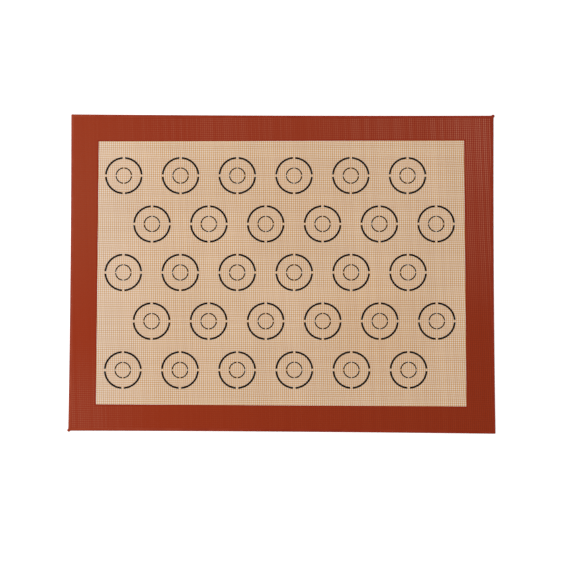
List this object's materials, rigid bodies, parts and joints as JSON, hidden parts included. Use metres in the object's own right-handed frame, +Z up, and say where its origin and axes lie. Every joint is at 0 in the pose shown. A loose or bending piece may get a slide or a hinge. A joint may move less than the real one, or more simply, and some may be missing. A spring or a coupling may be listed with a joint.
{
  "type": "silicone baking mat",
  "caption": "Flat baking mat: woven glass cloth between clear silicone coats, with a coloured silicone border, a sealed edge bead and printed ring guides for piped or scooped dough.",
  "frame": {"origin": "centre of the underside, on the surface that the mat rests on", "axes": "+X along the long side to the right, +Y along the short side to the far edge, +Z up through the working face"},
  "size_m": [0.4014, 0.3018, 0.0008],
  "materials": {
    "glass_cloth": "woven, coated",
    "clear_silicone": "satin",
    "coloured_silicone": "satin",
    "bead_silicone": "satin",
    "print_ink": "matte"
  },
  "bodies": {
    "root": {"glass_cloth": "glass_cloth", "bottom_coat": "clear_silicone", "top_coat": "clear_silicone", "bottom_border": "coloured_silicone", "top_border": "coloured_silicone", "edge_bead": "bead_silicone", "outer_rings_row_1": "print_ink", "inner_rings_row_1": "print_ink", "outer_rings_row_2": "print_ink", "inner_rings_row_2": "print_ink", "outer_rings_row_3": "print_ink", "inner_rings_row_3": "print_ink", "outer_rings_row_4": "print_ink", "inner_rings_row_4": "print_ink", "outer_rings_row_5": "print_ink", "inner_rings_row_5": "print_ink"}
  },
  "joints": []
}
